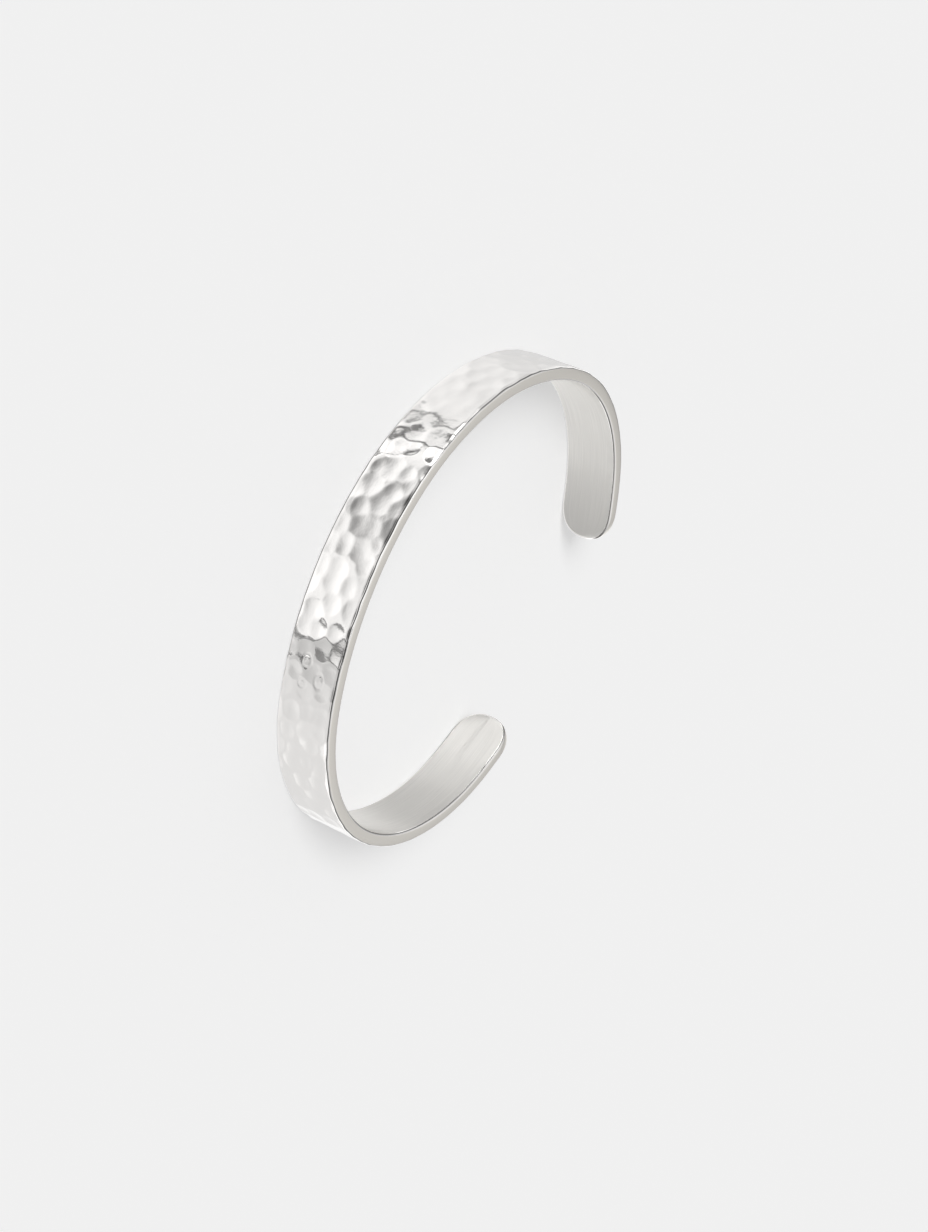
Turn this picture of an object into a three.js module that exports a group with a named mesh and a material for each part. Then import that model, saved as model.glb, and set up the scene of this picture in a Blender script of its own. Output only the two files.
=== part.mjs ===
// Hammered cuff bracelet: one flat bar, rounded at both ends, hammered on the outer face and bent to an
// open oval. It lies on one rim: +Z is the wrist axis, +X the long way of the oval, and the gap faces +Y.
import * as THREE from "three";

// Driving dimensions, in millimetres and degrees.
const BAND_WIDTH = 8; // rim to rim, along the wrist axis
const BAND_THICKNESS = 1.9;
const BEVEL = 0.2; // narrow flat that breaks each long edge
const END_LENGTH = 5; // from the tip to where the band has its full width
const END_POWER = 2.4; // roundness of an end: 2 is an ellipse, and more is squarer

// Inner face as tangent arcs, from the tip at -X round the back to the tip at +X.
const BEND = [
  { radius: 47, degrees: 12 },
  { radius: 24.5, degrees: 60 },
  { radius: 33, degrees: 68 },
  { radius: 38, degrees: 40 },
  { radius: 24.5, degrees: 60 },
  { radius: 26.5, degrees: 62 },
  { radius: 100, degrees: 4 },
];

// Hammer marks: shallow round bowls on a slanting grid, each moved a little from its place. A step of the
// grid is [along the band, across it].
const NEXT_MARK = [2.25, 1.5];
const NEXT_ROW = [2.75, -0.9];
const MARK_STRAY = 0.55; // most that a mark lies off the grid, each way
const MARK_DEPTH = 0.06;
const DEPTH_VARIATION = 0.4; // share by which the depths differ
const HAMMER_RADIUS = 12; // roundness of the hammer's face
const RADIUS_VARIATION = 0.3;
const MARK_TILT = 0.03; // most that a blow leans, as a slope
const RIDGE_SOFTNESS = 0.033; // how much polishing rounds the ridges between marks
const LIGHT_BLOWS = { along: 60, reach: 5, less: 0.45 }; // where the blows were lighter, and by what share

// Mesh steps.
const STATION_STEP = 1; // along the band
const OUTER_COLUMNS = 8; // across the outer face
const END_STEPS = 10; // round each quarter of an end

const RADIANS = Math.PI / 180;
const bendLength = BEND.reduce((sum, { radius, degrees }) => sum + radius * degrees * RADIANS, 0);

// Place and direction on the inner face at a length from the first tip, when the band sets off on a heading.
function follow(length, firstHeading) {
  let [x, y, heading, left] = [0, 0, firstHeading, length];
  for (const { radius, degrees } of BEND) {
    const run = Math.min(left, radius * degrees * RADIANS);
    const next = heading + run / radius;
    x += radius * (Math.sin(next) - Math.sin(heading));
    y += radius * (Math.cos(heading) - Math.cos(next));
    heading = next;
    left -= run;
  }
  return { x, y, heading };
}

// The heading at the first tip that brings both tips level along X.
function levelHeading() {
  const lastTip = follow(bendLength, 0);
  return -Math.atan2(lastTip.y, lastTip.x);
}

// A repeatable number from -1 to 1 for one mark.
function chance(column, row, salt) {
  const wave = Math.sin(column * 127.1 + row * 311.7 + salt * 74.7) * 43758.5453;
  return (wave - Math.floor(wave)) * 2 - 1;
}

// How far the hammered face lies below its flat height, at a length along the band and a height above its
// lower rim. The deepest of the bowls near a point wins, and the ridges between them are rounded.
function markDepth(along, height) {
  const [markAlong, markAcross] = NEXT_MARK;
  const [rowAlong, rowAcross] = NEXT_ROW;
  const area = markAlong * rowAcross - rowAlong * markAcross;
  const nearColumn = Math.round((along * rowAcross - height * rowAlong) / area);
  const nearRow = Math.round((height * markAlong - along * markAcross) / area);
  const lighter = Math.exp(-(((along - LIGHT_BLOWS.along) / LIGHT_BLOWS.reach) ** 2));
  const strength = 1 - LIGHT_BLOWS.less * lighter;
  let total = 0;
  for (let column = nearColumn - 2; column <= nearColumn + 2; column++) {
    for (let row = nearRow - 2; row <= nearRow + 2; row++) {
      const strayAlong = MARK_STRAY * chance(column, row, 3);
      const strayAcross = MARK_STRAY * chance(column, row, 4);
      const fromAlong = along - column * markAlong - row * rowAlong - strayAlong;
      const fromAcross = height - column * markAcross - row * rowAcross - strayAcross;
      const deepest = MARK_DEPTH * strength * (1 + DEPTH_VARIATION * chance(column, row, 5));
      const radius = (HAMMER_RADIUS / strength) * (1 + RADIUS_VARIATION * chance(column, row, 6));
      const lean = MARK_TILT * (chance(column, row, 7) * fromAlong + chance(column, row, 8) * fromAcross);
      const bowl = deepest - (fromAlong ** 2 + fromAcross ** 2) / (2 * radius) + lean;
      total += Math.exp(bowl / RIDGE_SOFTNESS);
    }
  }
  return Math.max(RIDGE_SOFTNESS * Math.log(total), 0);
}

// The flat bar's outline as stations from tip to tip: each has a length along the bar, half the width there,
// and the outline's outward direction (outAlong, outAcross) on the upper side.
function outlineStations() {
  const firstEnd = [];
  for (let i = 0; i <= END_STEPS; i++) {
    const angle = (i / END_STEPS) * (Math.PI / 2);
    const u = Math.cos(angle) ** (2 / END_POWER);
    const v = Math.sin(angle) ** (2 / END_POWER);
    const out = new THREE.Vector2(
      -(u ** (END_POWER - 1)) / END_LENGTH,
      v ** (END_POWER - 1) / (BAND_WIDTH / 2),
    ).normalize();
    const half = i ? (BAND_WIDTH / 2) * v : 0;
    firstEnd.push({ along: END_LENGTH * (1 - u), half, outAlong: out.x, outAcross: out.y });
  }
  const straight = bendLength - 2 * END_LENGTH;
  const steps = Math.round(straight / STATION_STEP);
  const middle = [];
  for (let i = 1; i < steps; i++) {
    const along = END_LENGTH + (straight * i) / steps;
    middle.push({ along, half: BAND_WIDTH / 2, outAlong: 0, outAcross: 1 });
  }
  const lastEnd = firstEnd
    .map((station) => ({ ...station, along: bendLength - station.along, outAlong: -station.outAlong }))
    .reverse();
  return [...firstEnd, ...middle, ...lastEnd];
}

// A closed mesh from the bar's layers, inner face to outer face, each an outline drawn in by its inset.
function bandGeometry() {
  const stations = outlineStations();
  const heading = levelHeading();
  const positions = [];

  // A point of the bent bar from its length along the bar, height across it and depth from the inner face.
  const bent = (along, across, depth) => {
    const place = follow(along, heading);
    return new THREE.Vector3(
      place.x + depth * Math.sin(place.heading),
      place.y - depth * Math.cos(place.heading),
      across,
    );
  };
  const triangle = (a, b, c) => {
    if (a.equals(b) || b.equals(c) || c.equals(a)) return; // at a tip all the columns meet in one point
    positions.push(...a.toArray(), ...b.toArray(), ...c.toArray());
  };
  const quad = (a, b, c, d) => {
    triangle(a, b, c);
    triangle(a, c, d);
  };

  // One row of points across the bar at a station, from the lower rim to the upper.
  const row = ({ along, half, outAlong, outAcross }, inset, depth, columns, dented) => {
    const reach = Math.max(half - inset * outAcross, 0);
    const place = along - inset * outAlong;
    return Array.from({ length: columns + 1 }, (_, i) => {
      const across = reach * ((2 * i) / columns - 1);
      return bent(place, across, depth - (dented ? markDepth(place, across + BAND_WIDTH / 2) : 0));
    });
  };
  const layers = [
    stations.map((s) => row(s, BEVEL, 0, 1, false)),
    stations.map((s) => row(s, 0, BEVEL, 1, false)),
    stations.map((s) => row(s, 0, BAND_THICKNESS - BEVEL, 1, false)),
    stations.map((s) => row(s, BEVEL, BAND_THICKNESS, OUTER_COLUMNS, true)),
  ];
  const [innerFace, , , outerFace] = layers;

  for (let i = 0; i + 1 < stations.length; i++) {
    const [innerHere, innerNext] = [innerFace[i], innerFace[i + 1]];
    quad(innerHere[0], innerHere[1], innerNext[1], innerNext[0]);
    for (let j = 0; j < OUTER_COLUMNS; j++)
      quad(outerFace[i][j], outerFace[i + 1][j], outerFace[i + 1][j + 1], outerFace[i][j + 1]);
    for (let k = 0; k + 1 < layers.length; k++) {
      const [here, next] = [layers[k][i], layers[k][i + 1]];
      const [hereOut, nextOut] = [layers[k + 1][i], layers[k + 1][i + 1]];
      quad(here[0], next[0], nextOut[0], hereOut[0]);
      quad(here.at(-1), hereOut.at(-1), nextOut.at(-1), next.at(-1));
    }
  }
  const geometry = new THREE.BufferGeometry();
  geometry.setAttribute("position", new THREE.Float32BufferAttribute(positions, 3));
  geometry.computeVertexNormals();
  return geometry;
}

const polishedSilver = new THREE.MeshStandardMaterial({
  color: 0xe9e7e3,
  metalness: 1,
  roughness: 0.18,
  flatShading: true,
});

const cuffBand = new THREE.Mesh(bandGeometry(), polishedSilver);
cuffBand.name = "cuff_band";

// The origin is under the middle of the band's box, on the surface that it lies on.
cuffBand.geometry.computeBoundingBox();
const box = cuffBand.geometry.boundingBox;
cuffBand.position.set(-(box.min.x + box.max.x) / 2, -(box.min.y + box.max.y) / 2, -box.min.z);

const cuffBracelet = new THREE.Group();
cuffBracelet.name = "cuff_bracelet";
cuffBracelet.add(cuffBand);

export default cuffBracelet;
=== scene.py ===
import math
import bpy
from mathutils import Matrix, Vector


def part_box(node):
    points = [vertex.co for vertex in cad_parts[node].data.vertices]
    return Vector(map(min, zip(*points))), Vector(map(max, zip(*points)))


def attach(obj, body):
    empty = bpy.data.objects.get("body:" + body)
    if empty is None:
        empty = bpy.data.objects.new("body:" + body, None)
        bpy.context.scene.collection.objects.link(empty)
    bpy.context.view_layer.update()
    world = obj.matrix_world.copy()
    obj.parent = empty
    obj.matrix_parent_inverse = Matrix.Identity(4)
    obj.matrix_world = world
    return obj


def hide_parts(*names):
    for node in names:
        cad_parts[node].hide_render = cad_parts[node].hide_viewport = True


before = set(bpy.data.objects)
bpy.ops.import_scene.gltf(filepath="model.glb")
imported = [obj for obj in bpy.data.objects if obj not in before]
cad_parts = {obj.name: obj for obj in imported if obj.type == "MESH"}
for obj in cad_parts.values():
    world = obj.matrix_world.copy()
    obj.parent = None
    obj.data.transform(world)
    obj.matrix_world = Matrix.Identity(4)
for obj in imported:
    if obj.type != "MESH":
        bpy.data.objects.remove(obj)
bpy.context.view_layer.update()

from types import SimpleNamespace

import bmesh
import bpy
import numpy as np
from mathutils import Matrix, Vector

bl_info = {
    "name": "Hammered Cuff Bracelet",
    "version": (1, 0, 0),
    "blender": (4, 5, 0),
    "location": "View3D > Sidebar > Cuff",
    "description": "A hammered silver cuff on a pale studio floor",
    "category": "Object",
}

MM = 0.001
NODE = "cuff_band"
BODY = "root"
NODE_LOW, NODE_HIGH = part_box(NODE)

# Finishes of the band's faces, in the order of its material slots.
POLISHED, SANDED, BRUSHED = range(3)

# The shape is worked out in mm: along is the length on the inner face from the tip at -X, and across is
# the height above the lower rim.

# The inner face as tangent arcs, from the tip at -X round the back to the tip at +X.
BEND = (
    {"radius": 47, "degrees": 12},
    {"radius": 24.5, "degrees": 60},
    {"radius": 33, "degrees": 68},
    {"radius": 38, "degrees": 40},
    {"radius": 24.5, "degrees": 60},
    {"radius": 26.5, "degrees": 62},
    {"radius": 100, "degrees": 4},
)

# The slanting grid of the hammer marks: the steps from a mark to the next, and from a row to the next.
NEXT_MARK = {"along": 2.25, "across": 1.5}
NEXT_ROW = {"along": 2.75, "across": -0.9}
MARK_STRAY = 0.55  # most that a mark lies off the grid, each way
MARK_TILT = 0.03  # most that a blow leans, as a slope
DEPTH_VARIATION = 0.4  # share by which depths differ
RADIUS_VARIATION = 0.3  # share by which the marks' roundness differs
FACE_DROP = 0.03  # how far hammering sinks the whole face, besides the marks

# What a mark's chances are for.
STRAY_ALONG, STRAY_ACROSS, DEPTH, RADIUS, TILT_ALONG, TILT_ACROSS = range(3, 9)

# Where the smith hit more lightly, how far that reaches, and the share taken off.
LIGHT_BLOWS = {"along": 60.0, "reach": 5.0, "less": 0.45}

# Small ring marks from the edge of a punch: where each is, and its half lengths.
RING_MARKS = (
    {"along": 97.3, "across": 5.3, "half_along": 0.85, "half_across": 0.6},
    {"along": 95.5, "across": 3.0, "half_along": 0.8, "half_across": 0.65},
    {"along": 98.3, "across": 3.0, "half_along": 0.45, "half_across": 0.5},
)
RING_DEPTH = 0.035
RING_LINE = 0.13  # half the width of a ring's groove

# How the outer face's rolled edge swells and thins along the band, and how much its roll grows from the
# middle to the upper rim. It shrinks by as much to the lower rim.
EDGE_WAVES = (
    {"per_mm": 1.21, "side_shift": 0.9, "share": 0.35},
    {"per_mm": 2.13, "side_shift": 2.2, "share": 0.3},
)
UPPER_EDGE_MORE = 0.3

RIM_CROWN = 0.015  # how far the middle of a filed rim stands out
HOLD = 0.05  # width of the narrow strips that keep the faces beside a rounded edge flat
# Columns close to the outer face's edge, where it rolls over: shares of the reach in from the edge.
EDGE_COLUMNS = (0, 0.015, 0.032, 0.055, 0.085)
NEXT_COLUMN = 0.12

# The studio as the metal sees it: how bright each wall is at these elevations in degrees, from below the
# horizon up, in percent of plain white. Most are dark near the horizon, which draws a thin dark line along
# rounded edges.
ELEVATIONS = (-90, -62, -45, -37, -33, -30, -26, -21, -14, -5, 4, 12, 20, 36, 60, 90)
WALLS = {
    "white_wall": (20, 35, 100, 97, 93, 88, 79, 67, 50, 15, 4, 10, 30, 50, 60, 90),
    "bright_end": (10, 20, 110, 110, 100, 91, 84, 92, 200, 130, 10, 8, 25, 100, 140, 120),
    "corner_wall": (10, 20, 90, 78, 73, 71, 73, 95, 170, 85, 5, 10, 35, 75, 90, 90),
    "bright_corner": (10, 30, 160, 120, 106, 100, 115, 210, 400, 320, 30, 15, 30, 140, 200, 120),
    "tall_softbox": (20, 35, 112, 110, 100, 78, 50, 27, 10, 2, 2, 6, 35, 110, 120, 90),
    "dim_softbox": (20, 35, 108, 98, 81, 60, 43, 29, 12, 2, 2, 6, 35, 110, 120, 90),
    "wide_softbox": (20, 35, 110, 110, 100, 92, 84, 70, 18, 2, 2, 6, 35, 100, 110, 90),
    "shaded_wall": (20, 25, 68, 66, 63, 60, 57, 54, 20, 3, 2, 3, 8, 25, 45, 90),
    "grey_wall": (20, 25, 78, 77, 75, 73, 71, 76, 60, 10, 2, 3, 10, 30, 50, 90),
    "side_wall": (30, 90, 90, 82, 77, 75, 78, 100, 145, 60, 5, 6, 15, 40, 70, 90),
    "back_wall": (10, 20, 50, 86, 94, 98, 99, 105, 110, 110, 80, 48, 45, 80, 90, 90),
    "gap": (4,) * len(ELEVATIONS),
}
BRIGHTEST = 400
# Each wall in the order it is put up: the azimuths that it runs from and to, and how softly each edge
# starts, in degrees. White wall shows where nothing is put up.
STUDIO = (
    {"wall": "shaded_wall", "start": -47, "end": -35, "start_soft": 1, "end_soft": 4},
    {"wall": "grey_wall", "start": -35, "end": -12, "start_soft": 4, "end_soft": 10},
    {"wall": "side_wall", "start": -12, "end": 68, "start_soft": 10, "end_soft": 8},
    {"wall": "back_wall", "start": 68, "end": 108, "start_soft": 8, "end_soft": 4},
    {"wall": "corner_wall", "start": 108, "end": 150, "start_soft": 4, "end_soft": 15},
    {"wall": "bright_end", "start": -163, "end": -145.5, "start_soft": 8, "end_soft": 1},
    {"wall": "bright_corner", "start": -145.5, "end": -128, "start_soft": 1, "end_soft": 8},
    {"wall": "tall_softbox", "start": -128, "end": -112, "start_soft": 8, "end_soft": 8},
    {"wall": "dim_softbox", "start": -112, "end": -88, "start_soft": 8, "end_soft": 8},
    {"wall": "wide_softbox", "start": -88, "end": -47, "start_soft": 8, "end_soft": 1},
    {"wall": "gap", "start": -156.4, "end": -153.8, "start_soft": 0.8, "end_soft": 0.8},
    {"wall": "gap", "start": -144.4, "end": -139.9, "start_soft": 0.8, "end_soft": 0.8},
    {"wall": "gap", "start": -51.4, "end": -48.2, "start_soft": 0.8, "end_soft": 0.8},
)

FLOOR_HALF = 600 * MM
FLOOR_DROP = 0.02 * MM  # the band's lower rim stays just clear of the floor


def linear(hex_colour):
    """An sRGB hex colour as linear red, green and blue."""
    channels = [int(hex_colour[i : i + 2], 16) / 255 for i in (0, 2, 4)]
    return [c / 12.92 if c <= 0.04045 else ((c + 0.055) / 1.055) ** 2.4 for c in channels]


class CuffBandSettings(bpy.types.PropertyGroup):
    """Sizes of the band and its hammer marks."""

    width: bpy.props.FloatProperty(
        name="Width",
        description="From rim to rim, along the wrist axis",
        default=NODE_HIGH.z - NODE_LOW.z,
        unit="LENGTH",
    )
    thickness: bpy.props.FloatProperty(
        name="Thickness", description="Of the bar, before hammering", default=1.9 * MM, unit="LENGTH"
    )
    edge_round: bpy.props.FloatProperty(
        name="Edge round", description="Radius on each long edge", default=0.28 * MM, unit="LENGTH"
    )
    edge_drop: bpy.props.FloatProperty(
        name="Edge drop",
        description="How far hammering rolls the outer face's edges down",
        default=0.024 * MM,
        unit="LENGTH",
    )
    edge_reach: bpy.props.FloatProperty(
        name="Edge reach",
        description="How far in from the rim that drop starts",
        default=0.3 * MM,
        unit="LENGTH",
    )
    end_length: bpy.props.FloatProperty(
        name="End length", description="From a tip to the full width", default=5 * MM, unit="LENGTH"
    )
    end_power: bpy.props.FloatProperty(
        name="End power", description="2 is an elliptical end, more is squarer", default=2.4
    )
    mark_depth: bpy.props.FloatProperty(
        name="Mark depth", description="Mean depth of a hammer mark", default=0.06 * MM, unit="LENGTH"
    )
    hammer_radius: bpy.props.FloatProperty(
        name="Hammer radius", description="Roundness of the hammer's face", default=12 * MM, unit="LENGTH"
    )
    ridge_softness: bpy.props.FloatProperty(
        name="Ridge softness",
        description="How much polishing rounds the ridges",
        default=0.028 * MM,
        unit="LENGTH",
    )


class SilverSettings(bpy.types.PropertyGroup):
    """Colour and polish of the silver."""

    polished_colour: bpy.props.FloatVectorProperty(
        name="Polished silver", description="White", subtype="COLOR", default=linear("FCFAF8")
    )
    sanded_colour: bpy.props.FloatVectorProperty(
        name="Sanded silver", description="Duller and warmer", subtype="COLOR", default=linear("F2EEE7")
    )
    brushed_colour: bpy.props.FloatVectorProperty(
        name="Brushed silver", description="A little duller", subtype="COLOR", default=linear("F8F6F2")
    )
    outer_roughness: bpy.props.FloatProperty(
        name="Outer roughness", description="Of the polished hammer marks", subtype="FACTOR", default=0.11
    )
    rim_roughness: bpy.props.FloatProperty(
        name="Rim roughness", description="Of the sanded rims", subtype="FACTOR", default=0.28
    )
    inner_roughness: bpy.props.FloatProperty(
        name="Inner roughness", description="Of the brushed inner face", subtype="FACTOR", default=0.42
    )


class StudioSettings(bpy.types.PropertyGroup):
    """Camera, floor and light."""

    aim: bpy.props.FloatVectorProperty(
        name="Aim",
        description="Point that the camera looks at",
        subtype="TRANSLATION",
        unit="LENGTH",
        default=(1.49 * MM, 5.28 * MM, 4.0 * MM),
    )
    distance: bpy.props.FloatProperty(
        name="Distance", description="From the camera to its aim", unit="LENGTH", default=284.96 * MM
    )
    azimuth: bpy.props.FloatProperty(
        name="Azimuth", description="0 looks along +Y", subtype="ANGLE", default=math.radians(-8.01)
    )
    elevation: bpy.props.FloatProperty(
        name="Elevation",
        description="Of the camera above its aim",
        subtype="ANGLE",
        default=math.radians(27.06),
    )
    lean: bpy.props.FloatProperty(
        name="Lean",
        description="Turn of the camera about its own line of sight",
        subtype="ANGLE",
        default=math.radians(113.12),
    )
    focal_length: bpy.props.FloatProperty(
        name="Focal length",
        description="For a 36 mm sensor on the long side",
        unit="CAMERA",
        default=62.36,
    )
    floor_colour: bpy.props.FloatVectorProperty(
        name="Floor", description="Pale matt acrylic", subtype="COLOR", default=linear("E8E8E8")
    )
    backdrop_colour: bpy.props.FloatVectorProperty(
        name="Backdrop", description="As bright as the lit floor", subtype="COLOR", default=linear("F1F1F1")
    )
    floor_glow: bpy.props.FloatProperty(
        name="Floor glow", description="Light from inside the table", default=0.42
    )
    fill_light: bpy.props.FloatProperty(
        name="Fill light", description="Even light from all round", default=0.40
    )
    key_light: bpy.props.FloatProperty(
        name="Key light", description="Broad light that gives the soft shadow", default=1.35
    )
    key_width: bpy.props.FloatProperty(
        name="Key width", description="How broad it looks", subtype="ANGLE", default=math.radians(30)
    )
    key_from: bpy.props.FloatVectorProperty(
        name="Key from", description="Where it shines from", subtype="XYZ", default=(-0.25, -1.0, 0.8)
    )


# --- The band's shape ---------------------------------------------------------------------------------


def in_mm(settings):
    """The settings' numbers by name, with lengths turned from metres to mm."""
    numbers = {}
    for setting in settings.bl_rna.properties:
        if setting.type == "FLOAT":
            scale = MM if setting.unit == "LENGTH" else 1
            numbers[setting.identifier] = getattr(settings, setting.identifier) / scale
    return SimpleNamespace(**numbers)


def follow(length, first_heading):
    """Points and directions on the inner face at lengths from the first tip, set off on a heading."""
    length = np.asarray(length, float)
    x, y = np.zeros_like(length), np.zeros_like(length)
    heading = np.full_like(length, first_heading)
    left = length.copy()
    for arc in BEND:
        run = np.minimum(left, arc["radius"] * math.radians(arc["degrees"]))
        after = heading + run / arc["radius"]
        x += arc["radius"] * (np.sin(after) - np.sin(heading))
        y += arc["radius"] * (np.cos(heading) - np.cos(after))
        heading = after
        left = left - run
    return x, y, heading


def bend_length():
    return sum(arc["radius"] * math.radians(arc["degrees"]) for arc in BEND)


def level_heading():
    """The heading at the first tip that brings both tips level along X."""
    x, y, _ = follow([bend_length()], 0.0)
    return -math.atan2(y[0], x[0])


def chance(column, row, purpose):
    """Repeatable numbers from -1 to 1, one for each hammer mark and purpose."""
    # Steps of a fast wave, with factors that share no pattern.
    wave = np.sin(column * 127.1 + row * 311.7 + purpose * 74.7) * 43758.5453
    return 2 * (wave - np.floor(wave)) - 1


def mark_depth(along, across, band):
    """How far hammering has sunk the outer face at points along and across it.

    Each blow presses a shallow bowl, a little tilted. The deepest bowl wins, and polishing rounds the
    ridges between bowls.
    """
    grid = np.linalg.inv(
        [[NEXT_MARK["along"], NEXT_ROW["along"]], [NEXT_MARK["across"], NEXT_ROW["across"]]]
    )
    near_column = np.round(grid[0, 0] * along + grid[0, 1] * across)
    near_row = np.round(grid[1, 0] * along + grid[1, 1] * across)
    lighter = np.exp(-(((along - LIGHT_BLOWS["along"]) / LIGHT_BLOWS["reach"]) ** 2))
    strength = 1 - LIGHT_BLOWS["less"] * lighter
    total = np.zeros_like(along)
    for column_step in range(-2, 3):
        for row_step in range(-2, 3):
            column, row = near_column + column_step, near_row + row_step
            mark_along = column * NEXT_MARK["along"] + row * NEXT_ROW["along"]
            mark_across = column * NEXT_MARK["across"] + row * NEXT_ROW["across"]
            from_along = along - mark_along - MARK_STRAY * chance(column, row, STRAY_ALONG)
            from_across = across - mark_across - MARK_STRAY * chance(column, row, STRAY_ACROSS)
            deepest = band.mark_depth * strength * (1 + DEPTH_VARIATION * chance(column, row, DEPTH))
            radius = band.hammer_radius / strength * (1 + RADIUS_VARIATION * chance(column, row, RADIUS))
            lean_along = chance(column, row, TILT_ALONG) * from_along
            lean_across = chance(column, row, TILT_ACROSS) * from_across
            tilt = MARK_TILT * (lean_along + lean_across)
            bowl = deepest - (from_along**2 + from_across**2) / (2 * radius) + tilt
            total += np.exp(bowl / band.ridge_softness)
    depth = np.maximum(FACE_DROP + band.ridge_softness * np.log(total), 0)
    for ring in RING_MARKS:
        share_along = (along - ring["along"]) / ring["half_along"]
        share_across = (across - ring["across"]) / ring["half_across"]
        from_line = (np.hypot(share_along, share_across) - 1) * ring["half_across"]
        depth += RING_DEPTH * np.exp(-((from_line / RING_LINE) ** 2))
    return depth


def edge_roll(along, to_edge, side, band):
    """How far blows that overlap the outer face's edge roll it down. Side is -1 below and 1 above."""
    waves = 1 + sum(
        wave["share"] * np.sin(along * wave["per_mm"] + side * wave["side_shift"]) for wave in EDGE_WAVES
    )
    near_edge = np.clip(1 - to_edge / band.edge_reach, 0, 1)
    return band.edge_drop * (1 - UPPER_EDGE_MORE + UPPER_EDGE_MORE * side) * waves * near_edge**2


def outline_stations(band, end_steps=30, step=0.16):
    """The flat bar's outline from tip to tip: lengths, half widths and the outline's outward direction."""
    angle = np.linspace(0, math.pi / 2, end_steps + 1)
    u, v = np.cos(angle) ** (2 / band.end_power), np.sin(angle) ** (2 / band.end_power)
    u[-1] = v[0] = 0
    out_along = -(u ** (band.end_power - 1)) / band.end_length
    out_across = v ** (band.end_power - 1) / (band.width / 2)
    out = np.stack([out_along, out_across]) / np.hypot(out_along, out_across)
    end = np.stack([band.end_length * (1 - u), band.width / 2 * v, *out])
    straight = bend_length() - 2 * band.end_length
    steps = round(straight / step)
    middle = np.zeros((4, steps - 1))
    middle[0] = band.end_length + straight * np.arange(1, steps) / steps
    middle[1] = band.width / 2
    middle[3] = 1
    other_end = end[:, ::-1].copy()
    other_end[0] = bend_length() - other_end[0]
    other_end[2] *= -1
    return np.concatenate([end, middle, other_end], axis=1)


def half_section(band, inner_columns=4, outer_columns=26, round_steps=4, rim_steps=6):
    """One side of the bar's section, from the middle of the inner face round the rim to the outer's middle.

    Each row is a point: its share of the reach across, its inset from the outline, its depth from the
    inner face, how far it follows the hammering, and the finish of the face that starts there.
    """
    edge, thick = band.edge_round, band.thickness
    face_inset = RIM_CROWN + edge + HOLD
    turn = np.linspace(0, math.pi / 2, round_steps + 1)
    rows = [(share, face_inset, 0, 0, BRUSHED) for share in np.linspace(0, 1, inner_columns + 1)]
    for t in turn[:-1]:
        rows.append((1, RIM_CROWN + edge * (1 - math.sin(t)), edge * (1 - math.cos(t)), 0, POLISHED))
    rows.append((1, RIM_CROWN, edge, 0, SANDED))
    # The rim is filed a little round: its middle stands out by the crown.
    for depth in np.linspace(edge, thick - edge, rim_steps + 1)[1:-1]:
        from_middle = (depth - thick / 2) / (thick / 2 - edge)
        rows.append((1, RIM_CROWN * from_middle**2, depth, 0, SANDED))
    for t in turn:
        inset, depth = RIM_CROWN + edge * (1 - math.cos(t)), thick - edge * (1 - math.sin(t))
        rows.append((1, inset, depth, math.sin(t), POLISHED))
    even = np.linspace(1 - NEXT_COLUMN, 0, outer_columns - 3)
    rows += [(share, face_inset, thick, 1, POLISHED) for share in (*(1 - np.array(EDGE_COLUMNS)), *even)]
    return np.array(rows)


def band_mesh(band):
    """The whole band as one closed mesh, in metres."""
    along, half, out_along, out_across = outline_stations(band)
    side = half_section(band)
    upper = np.concatenate([side, np.ones((len(side), 1))], axis=1)
    lower = np.concatenate([side[-2:0:-1], -np.ones((len(side) - 2, 1))], axis=1)
    share, inset, depth, follows, _, sign = np.concatenate([upper, lower]).T
    finishes = np.concatenate([side[:-1, 4], side[-2::-1, 4]]).astype(int)

    place = along[:, None] - inset * out_along[:, None]
    reach = np.maximum(half[:, None] - inset * out_across[:, None], 0)
    across = sign * share * reach
    marks = mark_depth(place, across + band.width / 2, band)
    rolled = edge_roll(place, (1 - share) * reach, across / (band.width / 2), band)
    sunk = depth - follows * (marks + rolled)
    x, y, heading = follow(place, level_heading())
    points = [x + sunk * np.sin(heading), y - sunk * np.cos(heading), across + band.width / 2]
    points = np.stack(points, axis=-1)
    # The middle of its box goes to the middle of the CAD band's.
    middle = (points.min(axis=(0, 1)) + points.max(axis=(0, 1))) / 2
    points += np.array((NODE_LOW + NODE_HIGH) / (2 * MM)) - middle

    stations, columns = place.shape
    index = np.arange(stations * columns).reshape(stations, columns)
    ahead = np.roll(index, -1, axis=1)
    quads = np.stack([index[:-1], index[1:], ahead[1:], ahead[:-1]], axis=-1).reshape(-1, 4)
    mesh = bpy.data.meshes.new(NODE + "_silver")
    mesh.from_pydata((points.reshape(-1, 3) * MM).tolist(), [], quads.tolist())
    mesh.polygons.foreach_set("material_index", np.tile(finishes, stations - 1))

    # Flat coordinates in mm: along the band, and round its section. The grain of each finish follows them.
    section_steps = np.hypot(np.diff(across[stations // 2], append=0), np.diff(depth, append=0))
    around = np.broadcast_to(np.cumsum(section_steps), place.shape)
    flat = np.stack([place, around], axis=-1).reshape(-1, 2)
    corners = np.empty(len(mesh.loops), np.int32)
    mesh.loops.foreach_get("vertex_index", corners)
    mesh.uv_layers.new(name="grain").data.foreach_set("uv", flat[corners].ravel())
    weld(mesh)
    return mesh


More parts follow.
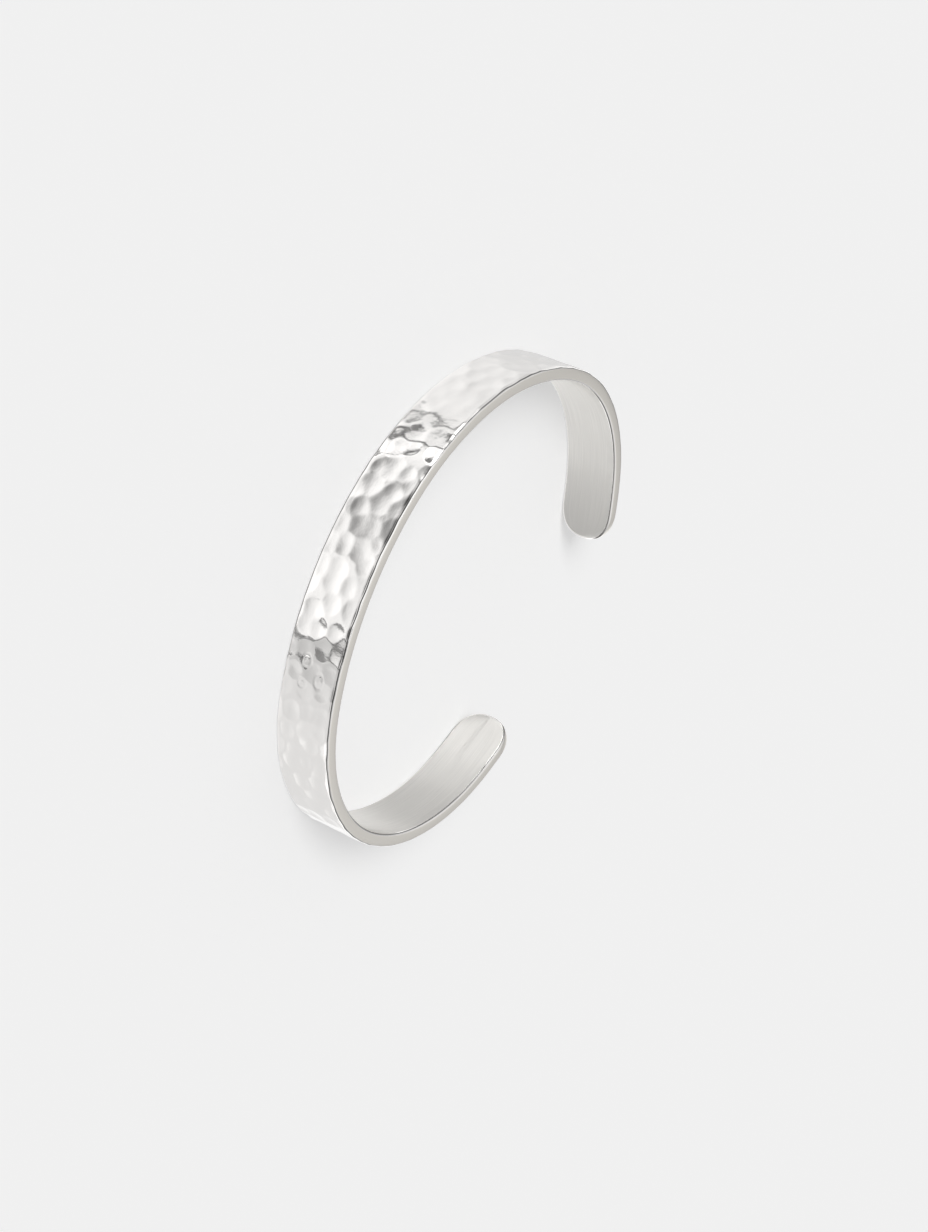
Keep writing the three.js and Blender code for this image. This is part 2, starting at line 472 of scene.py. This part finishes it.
def weld(mesh, nearest=1e-4 * MM, shortest=1e-5 * MM):
    """Joins the points that meet at each tip, and drops the faces that close up there."""
    made = bmesh.new()
    made.from_mesh(mesh)
    bmesh.ops.remove_doubles(made, verts=made.verts, dist=nearest)
    bmesh.ops.dissolve_degenerate(made, edges=made.edges, dist=shortest)
    bmesh.ops.recalc_face_normals(made, faces=made.faces)
    for face in made.faces:
        face.smooth = True
    made.to_mesh(mesh)
    made.free()


# --- Materials ----------------------------------------------------------------------------------------


def add_node(tree, kind, inputs=None, **settings):
    """A node of a kind with its settings. An input, by name or number, is a value or a node's output."""
    node = tree.nodes.new(kind)
    for name, value in settings.items():
        setattr(node, name, value)
    for name, value in (inputs or {}).items():
        if isinstance(value, bpy.types.NodeSocket):
            tree.links.new(value, node.inputs[name])
        else:
            node.inputs[name].default_value = value
    return node


def silver_material(name, colour, roughness):
    """A metal with its nodes, its shader, and the flat coordinates in mm that its grain follows."""
    material = bpy.data.materials.new(name)
    material.use_nodes = True
    tree = material.node_tree
    shader = tree.nodes["Principled BSDF"]
    shader.inputs["Metallic"].default_value = 1
    shader.inputs["Base Color"].default_value = (*colour, 1)
    shader.inputs["Roughness"].default_value = roughness
    flat = add_node(tree, "ShaderNodeUVMap", uv_map="grain").outputs[0]
    return material, tree, shader, flat


def polished_silver(silver):
    """Hammered, then polished: mirror-bright marks with a faint skin that softens the reflections."""
    material, tree, shader, flat = silver_material(
        "silver_hammered_polished", silver.polished_colour, silver.outer_roughness
    )
    # The skin of the hammer's face: soft unevenness about 1 mm long.
    skin = add_node(tree, "ShaderNodeTexNoise", {"Vector": flat, "Scale": 1.1, "Detail": 3.0})
    uneven = add_node(
        tree, "ShaderNodeBump", {"Height": skin.outputs[0], "Strength": 0.7, "Distance": 0.02 * MM}
    )
    # Hairlines from the polishing cloth, which went aslant. Real ones are finer than 0.02 mm, and they are
    # drawn at 0.15 mm so that they show.
    aslant = add_node(
        tree, "ShaderNodeMapping", {"Vector": flat, "Rotation": (0, 0, 0.9), "Scale": (0.5, 6.0, 1)}
    )
    hairlines = add_node(
        tree, "ShaderNodeTexNoise", {"Vector": aslant.outputs[0], "Scale": 1.0, "Detail": 2.0}
    )
    bump = add_node(
        tree,
        "ShaderNodeBump",
        {
            "Height": hairlines.outputs[0],
            "Normal": uneven.outputs[0],
            "Strength": 0.12,
            "Distance": 0.01 * MM,
        },
    )
    tree.links.new(bump.outputs[0], shader.inputs["Normal"])
    return material


def sanded_silver(silver):
    """Filed and sanded: an even, slightly darker sheen with faint lines along the edge."""
    material, tree, shader, flat = silver_material(
        "silver_sanded_satin", silver.sanded_colour, silver.rim_roughness
    )
    # Lines of 240 grit paper are about 0.06 mm apart. They are drawn at 0.12 mm so that they show.
    stretch = add_node(tree, "ShaderNodeMapping", {"Vector": flat, "Scale": (0.3, 8.0, 1)})
    lines = add_node(
        tree, "ShaderNodeTexNoise", {"Vector": stretch.outputs[0], "Scale": 1.0, "Detail": 2.0}
    )
    bump = add_node(
        tree, "ShaderNodeBump", {"Height": lines.outputs[0], "Strength": 0.25, "Distance": 0.01 * MM}
    )
    tree.links.new(bump.outputs[0], shader.inputs["Normal"])
    return material


def brushed_silver(silver):
    """Brushed along its length with a fine wheel: soft streaks, and a sheen that spreads across them."""
    material, tree, shader, flat = silver_material(
        "silver_brushed", silver.brushed_colour, silver.inner_roughness
    )
    shader.inputs["Anisotropic"].default_value = 0.75
    shader.inputs["Anisotropic Rotation"].default_value = 0.25
    along = add_node(tree, "ShaderNodeTangent", direction_type="UV_MAP", uv_map="grain")
    tree.links.new(along.outputs[0], shader.inputs["Tangent"])
    # Real brush lines are about 0.05 mm apart. They are drawn at 0.12 mm so that they show.
    stretch = add_node(tree, "ShaderNodeMapping", {"Vector": flat, "Scale": (0.12, 8.0, 1)})
    lines = add_node(
        tree, "ShaderNodeTexNoise", {"Vector": stretch.outputs[0], "Scale": 1.0, "Detail": 4.0}
    )
    bump = add_node(
        tree, "ShaderNodeBump", {"Height": lines.outputs[0], "Strength": 0.5, "Distance": 0.02 * MM}
    )
    tree.links.new(bump.outputs[0], shader.inputs["Normal"])
    # Lines that catch less light run between the bright ones.
    dull = [channel * 0.92 for channel in silver.brushed_colour]
    share = add_node(
        tree, "ShaderNodeMapRange", {"Value": lines.outputs[0], "From Min": 0.35, "From Max": 0.65}
    )
    streaks = add_node(
        tree,
        "ShaderNodeMix",
        {0: share.outputs[0], 6: (*dull, 1), 7: (*silver.brushed_colour, 1)},
        data_type="RGBA",
    )
    tree.links.new(streaks.outputs[2], shader.inputs["Base Color"])
    return material


# --- Studio -------------------------------------------------------------------------------------------


def wall_brightness(tree, height, wall):
    """A wall's brightness by elevation, as a share of the brightest so that it fits a colour ramp."""
    ramp = add_node(tree, "ShaderNodeValToRGB", {0: height})
    stops = ramp.color_ramp.elements
    stops.remove(stops[1])
    for number, (elevation, level) in enumerate(zip(ELEVATIONS, WALLS[wall])):
        stop = stops.new((elevation + 90) / 180) if number else stops[0]
        stop.color = (*[level / BRIGHTEST] * 3, 1)
    return ramp.outputs[0]


def wall_share(tree, azimuth, row):
    """1 at the azimuths where a wall of the studio stands, fading to 0 past its edges."""
    middle, half = (row["start"] + row["end"]) / 2, (row["end"] - row["start"]) / 2
    turned = add_node(tree, "ShaderNodeMath", {0: azimuth, 1: middle}, operation="SUBTRACT")
    ahead = add_node(tree, "ShaderNodeMath", {0: turned.outputs[0], 1: 180, 2: -180}, operation="WRAP")
    behind = add_node(tree, "ShaderNodeMath", {0: ahead.outputs[0], 1: -1}, operation="MULTIPLY")
    fades = []
    for soft, offset in ((row["start_soft"], behind), (row["end_soft"], ahead)):
        limits = {"From Min": half - soft, "From Max": half + soft, "To Min": 1, "To Max": 0}
        fade = add_node(
            tree,
            "ShaderNodeMapRange",
            {"Value": offset.outputs[0], **limits},
            interpolation_type="SMOOTHSTEP",
        )
        fades.append(fade.outputs[0])
    return add_node(tree, "ShaderNodeMath", dict(enumerate(fades)), operation="MULTIPLY").outputs[0]


def studio_world(studio):
    """Even white light for the floor, and for the metal a studio of soft pale walls with dark gaps."""
    world = bpy.data.worlds.new("studio")
    world.use_nodes = True
    tree = world.node_tree
    tree.nodes.clear()
    sight = add_node(tree, "ShaderNodeTexCoord").outputs["Generated"]
    x, y, z = add_node(tree, "ShaderNodeSeparateXYZ", {0: sight}).outputs
    turn = add_node(tree, "ShaderNodeMath", {0: y, 1: x}, operation="ARCTAN2")
    azimuth = add_node(
        tree, "ShaderNodeMath", {0: turn.outputs[0], 1: math.degrees(1)}, operation="MULTIPLY"
    )
    rise = add_node(tree, "ShaderNodeMath", {0: z}, operation="ARCSINE")
    height = add_node(
        tree, "ShaderNodeMath", {0: rise.outputs[0], 1: 1 / math.pi, 2: 0.5}, operation="MULTIPLY_ADD"
    )

    walls = wall_brightness(tree, height.outputs[0], "white_wall")
    for row in STUDIO:
        share = wall_share(tree, azimuth.outputs[0], row)
        wall = wall_brightness(tree, height.outputs[0], row["wall"])
        walls = add_node(tree, "ShaderNodeMix", {0: share, 6: walls, 7: wall}, data_type="RGBA").outputs[2]

    mirrored = add_node(tree, "ShaderNodeBackground", {"Color": walls, "Strength": BRIGHTEST / 100})
    even = add_node(
        tree, "ShaderNodeBackground", {"Color": (1, 1, 1, 1), "Strength": studio.fill_light}
    )
    backdrop = add_node(tree, "ShaderNodeBackground", {"Color": (*studio.backdrop_colour, 1)})
    ray = add_node(tree, "ShaderNodeLightPath").outputs
    plain = add_node(
        tree, "ShaderNodeMixShader", {0: ray["Is Camera Ray"], 1: even.outputs[0], 2: backdrop.outputs[0]}
    )
    light = add_node(
        tree, "ShaderNodeMixShader", {0: ray["Is Glossy Ray"], 1: plain.outputs[0], 2: mirrored.outputs[0]}
    )
    add_node(tree, "ShaderNodeOutputWorld", {"Surface": light.outputs[0]})
    bpy.context.scene.world = world


def studio_floor(studio):
    """A pale light table just under the band, lit a little from inside. The metal doesn't mirror it."""
    mesh = bpy.data.meshes.new("floor")
    sides = ((-1, -1), (1, -1), (1, 1), (-1, 1))
    corners = [(x * FLOOR_HALF, y * FLOOR_HALF, -FLOOR_DROP) for x, y in sides]
    mesh.from_pydata(corners, [], [(0, 1, 2, 3)])
    floor = bpy.data.objects.new("floor", mesh)
    bpy.context.scene.collection.objects.link(floor)
    floor.visible_glossy = False
    material = bpy.data.materials.new("acrylic_pale_matt")
    material.use_nodes = True
    shader = material.node_tree.nodes["Principled BSDF"]
    shader.inputs["Base Color"].default_value = (*studio.floor_colour, 1)
    shader.inputs["Roughness"].default_value = 0.9
    shader.inputs["Specular IOR Level"].default_value = 0
    shader.inputs["Emission Color"].default_value = (*studio.floor_colour, 1)
    shader.inputs["Emission Strength"].default_value = studio.floor_glow
    mesh.materials.append(material)


def studio_light(studio):
    """One broad key light, high behind the camera, that the metal itself doesn't show."""
    lamp = bpy.data.lights.new("key_light", "SUN")
    lamp.energy = studio.key_light
    lamp.angle = studio.key_width
    light = bpy.data.objects.new("key_light", lamp)
    light.rotation_euler = Vector(studio.key_from).to_track_quat("Z", "Y").to_euler()
    light.visible_glossy = False
    bpy.context.scene.collection.objects.link(light)


def studio_camera(studio):
    """A long lens a little above the band, leaned over so that the band seems to stand."""
    level_reach = math.cos(studio.elevation)
    sight = Vector((
        math.sin(studio.azimuth) * level_reach,
        math.cos(studio.azimuth) * level_reach,
        -math.sin(studio.elevation),
    ))
    level = sight.cross(Vector((0, 0, 1))).normalized()
    up = level.cross(sight) * math.cos(studio.lean) - level * math.sin(studio.lean)
    right = sight.cross(up)
    lens = bpy.data.cameras.new("camera")
    lens.lens = studio.focal_length
    lens.sensor_width = 36
    lens.clip_start = 10 * MM
    camera = bpy.data.objects.new("camera", lens)
    place = Matrix.Translation(Vector(studio.aim) - sight * studio.distance)
    camera.matrix_world = place @ Matrix((right, up, -sight)).transposed().to_4x4()
    bpy.context.scene.collection.objects.link(camera)
    bpy.context.scene.camera = camera


# --- Add-on -------------------------------------------------------------------------------------------


class CUFF_OT_band(bpy.types.Operator):
    """Makes the hammered band"""

    bl_idname = "cuff.band"
    bl_label = "Hammered band"

    def execute(self, context):
        mesh = band_mesh(in_mm(context.scene.cuff_band))
        for finish in (polished_silver, sanded_silver, brushed_silver):
            mesh.materials.append(finish(context.scene.cuff_silver))
        piece = bpy.data.objects.new("hammered_band", mesh)
        context.scene.collection.objects.link(piece)
        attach(piece, BODY)
        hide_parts(NODE)
        return {"FINISHED"}


class CUFF_OT_stage(bpy.types.Operator):
    """Makes the floor, the studio, its light and the camera"""

    bl_idname = "cuff.stage"
    bl_label = "Studio"

    def execute(self, context):
        studio = context.scene.cuff_studio
        studio_world(studio)
        studio_floor(studio)
        studio_light(studio)
        studio_camera(studio)
        context.scene.view_settings.view_transform = "Standard"
        return {"FINISHED"}


class CUFF_PT_panel(bpy.types.Panel):
    """Lists what the add-on makes, each with its settings"""

    bl_label = "Hammered cuff"
    bl_idname = "CUFF_PT_panel"
    bl_space_type = "VIEW_3D"
    bl_region_type = "UI"
    bl_category = "Cuff"

    def draw(self, context):
        scene = context.scene
        parts = (
            (CUFF_OT_band, (scene.cuff_band, scene.cuff_silver)),
            (CUFF_OT_stage, (scene.cuff_studio,)),
        )
        for operator, groups in parts:
            self.layout.operator(operator.bl_idname)
            for settings in groups:
                for name in settings.__annotations__:
                    self.layout.prop(settings, name)


CLASSES = (CuffBandSettings, SilverSettings, StudioSettings, CUFF_OT_band, CUFF_OT_stage, CUFF_PT_panel)


def register():
    for made in CLASSES:
        bpy.utils.register_class(made)
    bpy.types.Scene.cuff_band = bpy.props.PointerProperty(type=CuffBandSettings)
    bpy.types.Scene.cuff_silver = bpy.props.PointerProperty(type=SilverSettings)
    bpy.types.Scene.cuff_studio = bpy.props.PointerProperty(type=StudioSettings)


def unregister():
    del bpy.types.Scene.cuff_studio
    del bpy.types.Scene.cuff_silver
    del bpy.types.Scene.cuff_band
    for made in reversed(CLASSES):
        bpy.utils.unregister_class(made)


def main():
    register()
    bpy.ops.cuff.band()
    bpy.ops.cuff.stage()


if __name__ == "__main__":
    main()
